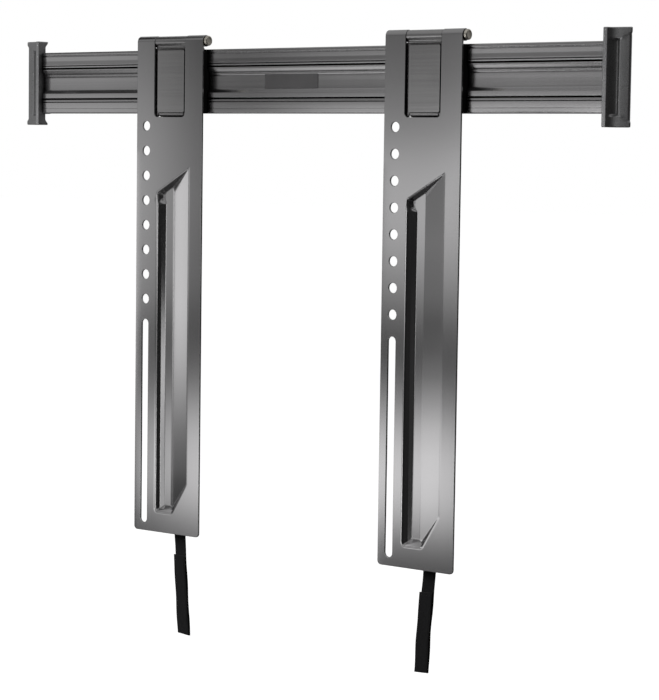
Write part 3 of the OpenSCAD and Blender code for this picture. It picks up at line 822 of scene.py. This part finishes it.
def hook_mesh():
    te = PZ + 4.4 * rad(290)
    tt = TONGUE_T + TONGUE_L
    ta = APRON_T - APRON_L
    tr = [TONGUE_T + TONGUE_L * 0 + Q * TR * i / 5 for i in range(6)]
    tr += [TONGUE_T + Q * TR + (17.0 - 9.3 - 2 * TR) + Q * TR * i / 5 for i in range(6)]
    ap = [APRON_T - Q * TR * i / 5 for i in range(6)] + [APRON_T - Q * TR - (17 - 11.2 - 2 * TR) - Q * TR * i / 5 for i in range(6)]
    cr = [34.6 + 0.45 * i for i in range(10)] + [39.4] + [PZ + 4.4 * rad(a) for a in range(0, 288, 9)]
    bead_t = [32.9 + 0.15 * i for i in range(12)]
    outer = [(-16, ta + 2), (-14, ta), (14, ta), (16, ta + 2), (16, -31.6), (17, -31.6), (17, -35), (34, -35), (36, -33), (36, tt - 2), (34, tt), (24, tt),
             (22, tt - 2), (22, 31.0), (21, 30.6), (20, 31.0), (20, te), (-20, te), (-20, 31.0), (-21, 30.6), (-22, 31.0), (-22, tt - 2), (-24, tt), (-34, tt),
             (-36, tt - 2), (-36, -33), (-34, -35), (-17, -35), (-17, -31.6), (-16, -31.6)]

    def dens(lp):
        out = []
        for i in range(len(lp)):
            p, q = lp[i], lp[(i + 1) % len(lp)]
            out.append(p)
            a, c = p[1], q[1]
            if abs(a - c) < 1e-6 or abs(p[0] - q[0]) > 1e-6:
                continue
            x = abs(p[0])
            ts = tr if x > 21 else ap if x < 17 else cr + [t for t in bead_t]
            hit = sorted([t for t in ts if min(a, c) + 0.05 < t < max(a, c) - 0.05], reverse=a > c)
            out += [(p[0], t) for t in hit]
        return out
    outer = dens(outer)
    wt0, wt1 = apron_t(-49), apron_t(-64)
    win = [(-3.7, wt0), (3.7, wt0), (4.2, wt0 - 0.5), (4.2, wt1 + 0.5), (3.7, wt1), (-3.7, wt1), (-4.2, wt1 + 0.5), (-4.2, wt0 - 0.5)]
    rv = [arc(x, apron_t(-46), 2.05, 360, 0, 24)[:-1] for x in (-8.5, 8.5)]
    re = 0.3
    lines = []
    for t in tr:
        lines += [[(s * 22 + s * re, t), (s * 36 - s * re, t)] for s in (-1, 1)]
    for t in ap:
        lines.append([(-16 + re, t), (16 - re, t)])
    for t in cr + bead_t:
        lines.append([(-20 + re, t), (20 - re, t)])
    # rings of the pad, front and back
    r, zc, hz = 2.6, 0.4, 31.6
    for d in [0, 0.12, 0.25, 0.4, 0.55, 0.7, 0.8, 0.9, 1.2, 1.35, 1.5, 1.65, 1.8, 1.95, 2.1]:
        rr, hx, hy = r - d, 18.4 - r, hz - r
        if rr < 0.1:
            rr = 0.1
        lp = []
        for sx, sy, a0 in ((1, 1, 0), (-1, 1, 90), (-1, -1, 180), (1, -1, 270)):
            lp += arc(1.1 + sx * hx, zc + sy * hy, rr, a0, a0 + 90, 8)
        lines.append(lp + [lp[0]])
    for x in (-19.4, -19.1, -18.7, -18.4, 18.4, 18.7, 19.1, 19.4):
        lines.append([(x, 32.75), (x, 34.65)])
    V, F, N = plate([outer, win] + rv, lines, hook_face(0), hook_face(1), re)
    # spring seat: a small tab bent back below the window
    base = len(V)
    ring = [(-3.4, -64.25), (-3.15, -64.0), (3.15, -64.0), (3.4, -64.25), (3.4, -65.55), (3.15, -65.8), (-3.15, -65.8), (-3.4, -65.55)]
    for y in (-12.0, -7.65, -7.4):
        k = 1.0 if y < -7.5 else 0.93
        V += [(x * k, y, -64.9 + (z + 64.9) * k) for x, z in ring]
    seat = []
    for j in (0, 8):
        seat += [(base + j + i, base + j + 8 + i, base + j + 8 + (i + 1) % 8, base + j + (i + 1) % 8) for i in range(8)]
    seat += [tuple(base + i for i in range(8)), tuple(base + 16 + i for i in reversed(range(8)))]
    F = F + seat
    for k in range(24):
        i = k % 8
        x, z = ring[i]
        N.append(Vector((x / 3.4, 0.2 if k >= 16 else 0, (z + 64.9) / 0.9)).normalized())
    return V, F, N


# ------------------------------------------------------------------ straps
def ribbon(name, path, width, thick, body, slot, mat, rep, xoff, edge=0.32, seed=0.0):
    """Flat webbing: a closed strip with rounded selvedges. path: centreline points (y, z); xoff(z) is its sideways lean."""
    # cumulative tangent frames
    n = len(path)
    V, F = [], []
    hx, ht = width / 2, thick / 2
    prof = []
    for sx, sy, a0 in ((1, 1, 0), (-1, 1, 90), (-1, -1, 180), (1, -1, 270)):
        prof += [(sx * (hx - edge) + edge * math.cos(rad(a0 + q)), sy * (ht - edge) + edge * math.sin(rad(a0 + q))) for q in (0, 30, 60, 90)]
        if a0 == 0:
            prof += [(hx * 0.6 - i * hx * 0.24, ht) for i in range(6)]
        if a0 == 180:
            prof += [(-hx * 0.6 + i * hx * 0.24, -ht) for i in range(6)]
    m = len(prof)
    acc = 0.0
    for i, (y, z) in enumerate(path):
        p, q = path[max(i - 1, 0)], path[min(i + 1, n - 1)]
        ty, tz = q[0] - p[0], q[1] - p[1]
        L = math.hypot(ty, tz)
        ty, tz = ty / L, tz / L
        ny, nz = -tz, ty
        if i:
            acc += math.hypot(y - path[i - 1][0], z - path[i - 1][1])
        # lean in x: keep the cross line square to the run
        dx = (xoff(q[1]) - xoff(p[1])) / max(abs(q[1] - p[1]), 0.5) if abs(q[1] - p[1]) > 0.5 else 0.0
        cs = 1 / math.hypot(1, dx)
        free = sstep(-z, 100, 470)
        for k, (w, h) in enumerate(prof):
            cup = 0.10 * free * math.sin(acc * 0.11 + seed) * (w / hx) + 0.12 * free * (w / hx) ** 2 * math.sin(acc * 0.043 + 1.3 * seed)
            wx = w * cs
            V.append((xoff(z) + wx + 0.22 * free * math.sin(acc * 0.16 + seed + (0.9 if w > 0 else 0)) * abs(w / hx),
                      y + ny * (h + cup), z + nz * (h + cup) + (-dx * w * cs if abs(ty) < 0.5 else 0) * (1 if tz < 0 else 1)))
    for i in range(n - 1):
        F += [(i * m + k, i * m + (k + 1) % m, (i + 1) * m + (k + 1) % m, (i + 1) * m + k) for k in range(m)]
    F += [tuple(range(m)), tuple((n - 1) * m + k for k in reversed(range(m)))]
    o = make(name, V, F, mat, body, slot, rep)
    face_out(o)
    o.data.set_sharp_from_angle(angle=rad(60))
    return o, acc


def interp(pts):
    """x against z through the route's points, eased so that the bends are round."""
    def f(z):
        if z >= pts[0][1]:
            return pts[0][0]
        for (x0, z0), (x1, z1) in zip(pts, pts[1:]):
            if z >= z1:
                u = (z - z0) / (z1 - z0)
                return x0 + (x1 - x0) * u
        return pts[-1][0]
    def g(z):
        return sum(f(z + d) for d in (-9, -6, -3, 0, 3, 6, 9)) / 7 if z > pts[-1][1] + 12 else f(z)
    return g


def straps(side, cx, body, pts, tab_pts):
    g = interp(pts)
    y0 = -2.75
    path = [(y0 - 1.3, -104), (y0 - 1.3, -97), (y0 - 1.31, -91), (-4.6, -87.5), (-6.6, -84), (-9.2, -80), (-10.6, -77.6), (-10.95, -76.4), (-10.95, -73.6)]
    path += [(-9.3 + 1.65 * math.cos(rad(a)), -73.3 + 1.65 * math.sin(rad(a))) for a in (180, 155, 130, 105, 90, 75, 50, 25, 0)]
    path += [(-7.65, -74.4), (-7.62, -76.2), (-7.1, -78.2), (-5.6, -81.2), (-3.7, -84.9), (-2.95, -87), (y0, -89.5), (y0, -93)]
    zend = pts[-1][1]
    z = -98.0
    while z > zend + 0.5:
        path.append((y0, z))
        z -= 4.0
    path.append((y0, zend))
    o, ln = ribbon(side + "_strap", path, 14.3, 1.2, body, "strap_webbing", WB, [side + "_pull_strap"], lambda z: cx + g(z), seed=0.4 if side == "left" else 2.1)
    tg = interp(tab_pts)
    tp, z = [], tab_pts[0][1]
    while z > tab_pts[-1][1] + 0.5:
        tp.append((y0 - 1.36, z))
        z -= 3.0
    tp.append((y0 - 1.36, tab_pts[-1][1] + 0.3))
    t, tl = ribbon(side + "_tab", tp, 14.8, 1.2, body, "tab_webbing", TB, [side + "_strap_tab"], lambda z: cx + tg(z) - 1.0, seed=1.0 if side == "left" else 3.0)
    # stitching on the tab: a box of thread stitches standing just proud
    V, F = [], []

    def stitch(x0, z0, x1, z1):
        b0 = len(V)
        dx, dz = x1 - x0, z1 - z0
        L = math.hypot(dx, dz)
        nx, nz = -dz / L * 0.28, dx / L * 0.28
        yb = y0 - 1.36 - 0.6 + 0.12
        for u, hgt in ((0.0, 0.0), (0.18, 0.30), (0.5, 0.40), (0.82, 0.30), (1.0, 0.0)):
            px, pz = x0 + dx * u, z0 + dz * u
            for sgn, hh in ((-1, 0.0), (-0.6, 0.75), (0.6, 0.75), (1, 0.0)):
                V.append((px + nx * sgn, yb - hgt * (0.25 + hh), pz + nz * sgn))
        for k in range(4):
            F.extend((b0 + 4 * k + j, b0 + 4 * k + (j + 1) % 4, b0 + 4 * k + 4 + (j + 1) % 4, b0 + 4 * k + 4 + j) for j in range(4))
        F.append((b0, b0 + 1, b0 + 2, b0 + 3))
        F.append((b0 + 19, b0 + 18, b0 + 17, b0 + 16))
    ztop, zbot = tab_pts[0][1] - 3.0, tab_pts[-1][1] + 4
    for off in (-5.6, 5.6):
        z = ztop
        while z - 2.2 > zbot:
            stitch(cx + tg(z) - 1 + off, z, cx + tg(z - 2.2) - 1 + off, z - 2.2)
            z -= 3.0
    for zz in (ztop, ztop - 16, zbot + 1):
        x = -5.0
        while x + 2.0 < 5.6:
            stitch(cx + tg(zz) - 1 + x, zz, cx + tg(zz) - 1 + x + 2.0, zz)
            x += 2.8
    s = make(side + "_stitching", V, F, TB, body, "tab_webbing")
    face_out(s)
    return o, t, s


# ------------------------------------------------------------------ build
wall_rail()
rail_cover()
nameplate()
end_cap(-1)
end_cap(1)
BV, BF, BN = bracket_mesh()
HV, HF, HN = hook_mesh()
PATHS = {
    "left": ([(0, -86), (1.4, -250), (3.6, -460), (5.4, -485), (8.6, -525), (11.7, -562)], [(5.1, -481), (8.6, -525), (11.7, -562)]),
    "right": ([(0, -86), (1.8, -250), (4.9, -462), (3.2, -485), (0.4, -520), (-1.4, -558)], [(3.5, -480.5), (0.4, -520), (-1.4, -558)]),
}
for side, cx in (("left", LEFT), ("right", RIGHT)):
    shift = lambda vs: [(x + cx, y, z) for x, y, z in vs]
    make(side + "_bracket_sheet", shift(BV), BF, BR, side + "_bracket", "bracket_steel", [side + "_tv_bracket"], BN)
    make(side + "_hook_sheet", shift(HV), HF, HK, side + "_carriage", "hook_steel", [side + "_hook_plate"], HN)
    pr = [(-43.5, 0), (-43.5, 2.3), (-43.4, 2.6), (-42.9, 3.3), (-42.6, 3.4), (43.6, 3.4), (43.85, 3.5), (43.9, 4.2), (44.0, 4.7), (44.3, 4.95),
          (44.7, 5.0), (46.0, 5.0), (46.5, 4.9), (46.9, 4.65), (47.15, 4.3), (47.3, 3.9), (47.3, 3.5), (47.22, 3.2), (47.15, 2.2), (47.12, 0)]
    pin = lathe_x(side + "_pin", [(x + cx, r) for x, r in pr], PY, PZ, 48, PIN, side + "_bracket", "pin_steel", [side + "_hinge_pin"])
    pin.data.set_sharp_from_angle(angle=rad(40))
    straps(side, cx, side + "_latch", *PATHS[side])
    # compression spring, closed coils at both ends
    V, F = [], []
    turns, w, r, seg, k = 6.5, 0.35, 2.65, 24, 10
    n = int(turns * seg)
    z0, z1 = -63.6, -50.4
    for i in range(n + 1):
        a, t = 2 * math.pi * i / seg, i / n
        u = 0.05 * t / 0.16 if t < 0.16 else 1 - 0.05 * (1 - t) / 0.16 if t > 0.84 else 0.05 + 0.90 * (t - 0.16) / 0.68
        px, py, pz = r * math.cos(a), r * math.sin(a), z0 + (z1 - z0) * u
        V += [(cx + px + w * math.cos(c) * math.cos(a), -10.3 + py + w * math.cos(c) * math.sin(a), pz + w * math.sin(c))
              for c in (2 * math.pi * j / k for j in range(k))]
    for i in range(n):
        F += [(i * k + j, i * k + (j + 1) % k, (i + 1) * k + (j + 1) % k, (i + 1) * k + j) for j in range(k)]
    F += [tuple(range(k)), tuple(n * k + j for j in reversed(range(k)))]
    spring = make(side + "_spring", V, F, SP, side + "_latch", "spring_steel", [side + "_latch_spring"])
    face_out(spring)
    spring.data.set_sharp_from_angle(angle=rad(60))
    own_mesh(spring)
    for nd, mat, wd in (("glide_shoe", GLIDE_AND_SHADE, 0.35), ("latch_rivets", RV, 0.3), ("latch_slider", ZN, 0.25)):
        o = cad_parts[side + "_" + nd]
        o.data.materials.clear()
        o.data.materials.append(mat)
        bevel(o, wd)

# ------------------------------------------------------------------ studio
world = bpy.data.worlds.new("studio")
sc.world = world
world.use_nodes = True
wt = world.node_tree
wt.nodes.clear()
wo = wt.nodes.new("ShaderNodeOutputWorld")
bg_cam = wt.nodes.new("ShaderNodeBackground")
bg_cam.inputs[0].default_value = (1, 1, 1, 1)
bg_cam.inputs[1].default_value = 1.0
bg_env = wt.nodes.new("ShaderNodeBackground")
tc = wt.nodes.new("ShaderNodeTexCoord")
sp = wt.nodes.new("ShaderNodeSeparateXYZ")
rp = wt.nodes.new("ShaderNodeValToRGB")
mr = wt.nodes.new("ShaderNodeMapRange")
wt.links.new(tc.outputs["Generated"], sp.inputs[0])
mr.inputs["From Min"].default_value = -1
mr.inputs["From Max"].default_value = 1
wt.links.new(sp.outputs["Z"], mr.inputs["Value"])
wt.links.new(mr.outputs["Result"], rp.inputs["Fac"])
e = rp.color_ramp.elements
e[0].position, e[0].color = 0.0, (0.10, 0.10, 0.10, 1)
e[1].position, e[1].color = 1.0, (0.05, 0.05, 0.05, 1)
for p, c in ((0.35, 0.12), (0.5, 0.20), (0.65, 0.27), (0.85, 0.42), (0.93, 0.42), (0.97, 0.08)):
    q = e.new(p)
    q.color = (c, c, c, 1)
wt.links.new(rp.outputs["Color"], bg_env.inputs[0])
bg_env.inputs[1].default_value = 1.0
lp_ = wt.nodes.new("ShaderNodeLightPath")
mx = wt.nodes.new("ShaderNodeMixShader")
wt.links.new(lp_.outputs["Is Camera Ray"], mx.inputs[0])
wt.links.new(bg_env.outputs[0], mx.inputs[1])
wt.links.new(bg_cam.outputs[0], mx.inputs[2])
wt.links.new(mx.outputs[0], wo.inputs[0])


def card(name, corners, build, shadow=False, camera=False, diffuse=False):
    me = bpy.data.meshes.new(name)
    me.from_pydata(corners, [], [tuple(range(len(corners)))])
    o = bpy.data.objects.new(name, me)
    sc.collection.objects.link(o)
    mat = bpy.data.materials.new(name)
    mat.use_nodes = True
    nt = mat.node_tree
    nt.nodes.clear()
    out = nt.nodes.new("ShaderNodeOutputMaterial")
    build(nt, out)
    me.materials.append(mat)
    o.visible_shadow = shadow
    o.visible_camera = camera
    o.visible_diffuse = diffuse
    return o


def gradient(parts, box):
    """Emission that varies smoothly over the card: a sum of parts, each a profile with height times one along the card.
    A part is (height stops, along stops, along axis); box is (low, high) per axis that the stops are given in."""
    def build(nt, out):
        tc = nt.nodes.new("ShaderNodeTexCoord")
        sp = nt.nodes.new("ShaderNodeSeparateXYZ")
        nt.links.new(tc.outputs["Object"], sp.inputs[0])

        def ramp(axis, st):
            lo, hi = box[axis]
            mr = nt.nodes.new("ShaderNodeMapRange")
            mr.inputs["From Min"].default_value = lo
            mr.inputs["From Max"].default_value = hi
            nt.links.new(sp.outputs[axis], mr.inputs["Value"])
            r = nt.nodes.new("ShaderNodeValToRGB")
            r.color_ramp.interpolation = "LINEAR"
            e = r.color_ramp.elements
            while len(e) < len(st):
                e.new(0.5)
            for i, (p, c) in enumerate(sorted(st)):
                e[i].position = (p - lo) / (hi - lo)
                e[i].color = (c / 2, c / 2, c / 2, 1)
            nt.links.new(mr.outputs["Result"], r.inputs["Fac"])
            return r.outputs["Color"]

        def mix(kind, a, c):
            mm = nt.nodes.new("ShaderNodeMix")
            mm.data_type, mm.blend_type = "RGBA", kind
            mm.inputs["Factor"].default_value = 1.0
            nt.links.new(a, mm.inputs[6])
            nt.links.new(c, mm.inputs[7])
            return mm.outputs[2]
        total = None
        for high, along, axis in parts:
            col = mix("MULTIPLY", ramp("Z", high), ramp(axis, along))
            total = col if total is None else mix("ADD", total, col)
        em = nt.nodes.new("ShaderNodeEmission")
        nt.links.new(total, em.inputs["Color"])
        em.inputs["Strength"].default_value = 4.0
        nt.links.new(em.outputs[0], out.inputs["Surface"])
    return build


def zc(z):
    """Height on the front card that the faces show at height z (mm), from the photograph's side."""
    return 1.2708 * z * MM + 0.0193


def zmap(st):
    return [(zc(z), v) for z, v in st]


def wall(x0, x1, z0, z1, y=-0.5):
    return [(x0, y, z0), (x1, y, z0), (x1, y, z1), (x0, y, z1)]


FZ = (-0.70, 0.18)
# what the left bracket and the left half of the rail reflect
up_l = zmap([(120, 0.25), (60, 0.35), (30, 0.42), (0, 0.51), (-50, 0.70), (-100, 0.76), (-130, 0.77), (-160, 0.70), (-200, 0.64), (-225, 0.48), (-247, 0.28),
             (-262, 0.22), (-280, 0.16), (-310, 0.06), (-335, 0.0)])
lo_l = zmap([(-235, 0.0), (-252, 0.03), (-275, 0.13), (-297, 0.30), (-322, 0.72), (-345, 1.10), (-368, 1.28), (-392, 1.34), (-410, 1.26), (-424, 1.05),
             (-436, 0.72), (-450, 0.42), (-470, 0.25), (-520, 0.12)])
ux_l = [(-0.92, 1.0), (-0.78, 1.0), (-0.69, 0.96), (-0.65, 0.86), (-0.635, 0.92), (-0.615, 0.84), (-0.597, 0.72), (-0.58, 0.62), (-0.56, 0.50), (-0.545, 0.40),
        (-0.53, 0.34), (-0.515, 0.30), (-0.46, 0.31), (-0.42, 0.40), (-0.40, 0.44)]
lx_l = [(-0.92, 0.5), (-0.66, 0.5), (-0.635, 0.52), (-0.615, 0.55), (-0.60, 0.66), (-0.575, 0.80), (-0.545, 0.94), (-0.53, 1.0), (-0.40, 1.0)]
card("front_left_card", wall(-0.92, -0.40, *FZ), gradient([(up_l, ux_l, "X"), (lo_l, lx_l, "X")], {"X": (-0.92, -0.40), "Z": FZ}))
# what the right bracket and the middle of the rail reflect
up_r = zmap([(120, 0.14), (60, 0.20), (30, 0.24), (0, 0.29), (-50, 0.50), (-78, 0.76), (-105, 0.88), (-140, 0.84), (-170, 0.66), (-200, 0.44), (-225, 0.22),
             (-248, 0.10), (-262, 0.05), (-285, 0.0)])
lo_r = zmap([(-238, 0.0), (-252, 0.04), (-264, 0.09), (-278, 0.22), (-300, 0.48), (-325, 0.95), (-348, 1.30), (-370, 1.38), (-392, 1.26), (-408, 1.00),
             (-420, 0.66), (-432, 0.42), (-445, 0.22), (-465, 0.12), (-520, 0.08)])
ux_r = [(-0.40, 0.80), (-0.35, 0.95), (-0.30, 1.10), (-0.25, 1.0), (-0.19, 1.0), (-0.145, 1.08), (-0.125, 1.30), (-0.11, 1.36)]
card("front_right_card", wall(-0.40, -0.11, *FZ), gradient([(up_r, ux_r, "X"), (lo_r, [(-0.40, 1.0), (-0.11, 1.0)], "X")], {"X": (-0.40, -0.11), "Z": FZ}))
# what the right end of the rail reflects
card("rail_card", wall(-0.11, 0.20, -0.10, 0.18), gradient([(up_r, [(-0.11, 1.36), (0.0, 1.24), (0.20, 1.28)], "X")], {"X": (-0.11, 0.20), "Z": FZ}))
# upright strip that the rounded left rims of the troughs catch
rim_z = zmap([(-60, 0.0), (-105, 0.9), (-150, 1.2), (-200, 0.75), (-240, 0.30), (-300, 0.30), (-330, 0.8), (-350, 1.3), (-390, 1.5), (-420, 1.1), (-440, 0.6), (-500, 0.2)])
card("strip_card", wall(0.02, 0.12, -0.70, -0.10), gradient([(rim_z, [(0.02, 2.0), (0.12, 2.0)], "X")], {"X": (0.02, 0.12), "Z": FZ}))
# what the troughs' long slopes reflect, beside each bracket


def slope_map(st, k, c):
    return [(k * z * MM + c, v) for z, v in st]


sl_l = slope_map([(-70, 1.0), (-100, 1.21), (-225, 1.21), (-250, 1.10), (-275, 0.98), (-300, 0.78), (-325, 0.58), (-350, 0.395), (-370, 0.29), (-390, 0.22),
                  (-405, 0.135), (-420, 0.10), (-480, 0.08)], 1.040, 0.0029)
card("slope_left_card", [(-0.24, -0.024, -0.50), (-0.24, -0.064, -0.50), (-0.24, -0.064, -0.070), (-0.24, -0.024, -0.070)],
     gradient([(sl_l, [(-0.07, 1.0), (-0.02, 1.0)], "Y")], {"Y": (-0.07, -0.02), "Z": (-0.52, -0.05)}))
sl_r = slope_map([(-80, 0.30), (-130, 0.33), (-150, 0.35), (-200, 0.28), (-225, 0.18), (-250, 0.20), (-275, 0.34), (-300, 0.67), (-325, 1.08), (-350, 1.33),
                  (-370, 1.36), (-390, 1.27), (-405, 1.05), (-420, 0.78), (-480, 0.4)], 1.055, 0.0039)
card("slope_right_card", [(0.06, -0.036, -0.51), (0.06, -0.087, -0.51), (0.06, -0.087, -0.080), (0.06, -0.036, -0.080)],
     gradient([(sl_r, [(-0.09, 1.0), (-0.03, 1.0)], "Y")], {"Y": (-0.09, -0.03), "Z": (-0.52, -0.05)}))
flat1 = [(-1.0, 1.0), (1.0, 1.0)]
# dark flag behind on the right, for the cut edges that face that way
card("edge_flag", [(0.9, 0.35, -0.9), (1.7, 2.4, -0.9), (1.7, 2.4, 0.03), (0.9, 0.35, 0.03)], gradient([([(-1, 0.02), (1, 0.02)], flat1, "X")], {"X": (-1, 1), "Z": (-1, 1)}))
# dark flags: to the right in front, for the troughs' leaning walls and the right cap's scoop, and above on the left
card("wall_flag", [(0.13, -0.52, -0.80), (1.25, -0.52, -0.80), (1.25, -0.52, -0.10), (0.13, -0.52, -0.10)], gradient([([(-1, 0.02), (1, 0.02)], flat1, "X")], {"X": (-1, 1), "Z": (-1, 1)}))
card("side_flag", [(0.75, -0.50, -0.85), (0.75, 0.60, -0.85), (0.75, 0.60, 0.35), (0.75, -0.50, 0.35)], gradient([([(-1, 0.03), (1, 0.03)], flat1, "X")], {"X": (-1, 1), "Z": (-1, 1)}))
card("cap_flag", [(0.26, -0.52, -0.10), (0.80, -0.52, -0.10), (0.80, -0.52, 0.30), (0.26, -0.52, 0.30)], gradient([([(-1, 0.05), (1, 0.05)], flat1, "X")], {"X": (-1, 1), "Z": (-1, 1)}))
card("high_flag", [(-1.7, -0.6, 0.9), (-0.72, -0.6, 0.9), (-0.72, 0.3, 0.9), (-1.7, 0.3, 0.9)],
     gradient([([(-1, 1.0), (1, 1.0)], [(-1.7, 0.02), (-1.0, 0.02), (-0.89, 0.12), (-0.8, 0.23), (-0.72, 0.42)], "X")], {"X": (-1.7, -0.72), "Z": (-1, 1)}))
# softbox overhead on the right, which the cover's steep lower bevel sees
card("top_card", [(-0.08, -1.0, 0.9), (1.2, -1.0, 0.9), (1.2, 0.15, 0.9), (-0.08, 0.15, 0.9)],
     gradient([([(-1, 0.46), (1, 0.46)], flat1, "X")], {"X": (-1, 1), "Z": (-1, 1)}))

# floor far below, pale, and the soft lights
floor = bpy.data.meshes.new("floor")
floor.from_pydata([(-30, -30, -0.95), (30, -30, -0.95), (30, 30, -0.95), (-30, 30, -0.95)], [], [(0, 1, 2, 3)])
fo = bpy.data.objects.new("floor", floor)
sc.collection.objects.link(fo)
fm = bpy.data.materials.new("floor")
fm.use_nodes = True
bs = fm.node_tree.nodes["Principled BSDF"]
bs.inputs["Base Color"].default_value = (0.85, 0.85, 0.85, 1)
bs.inputs["Roughness"].default_value = 0.9
bs.inputs["Emission Color"].default_value = (1, 1, 1, 1)
bs.inputs["Emission Strength"].default_value = 0.75
floor.materials.append(fm)
fo.visible_glossy = False
fo.visible_diffuse = False


def area(name, loc, target, size, size_y, power):
    d = bpy.data.lights.new(name, "AREA")
    d.shape, d.size, d.size_y, d.energy = "RECTANGLE", size, size_y, power
    o = bpy.data.objects.new(name, d)
    sc.collection.objects.link(o)
    o.location = loc
    o.rotation_euler = (Vector(target) - Vector(loc)).to_track_quat("-Z", "Y").to_euler()
    return o


key = area("key_softbox", (-1.2, -1.7, 0.5), (0, 0, -0.1), 0.9, 0.9, 60)
key.visible_glossy = False
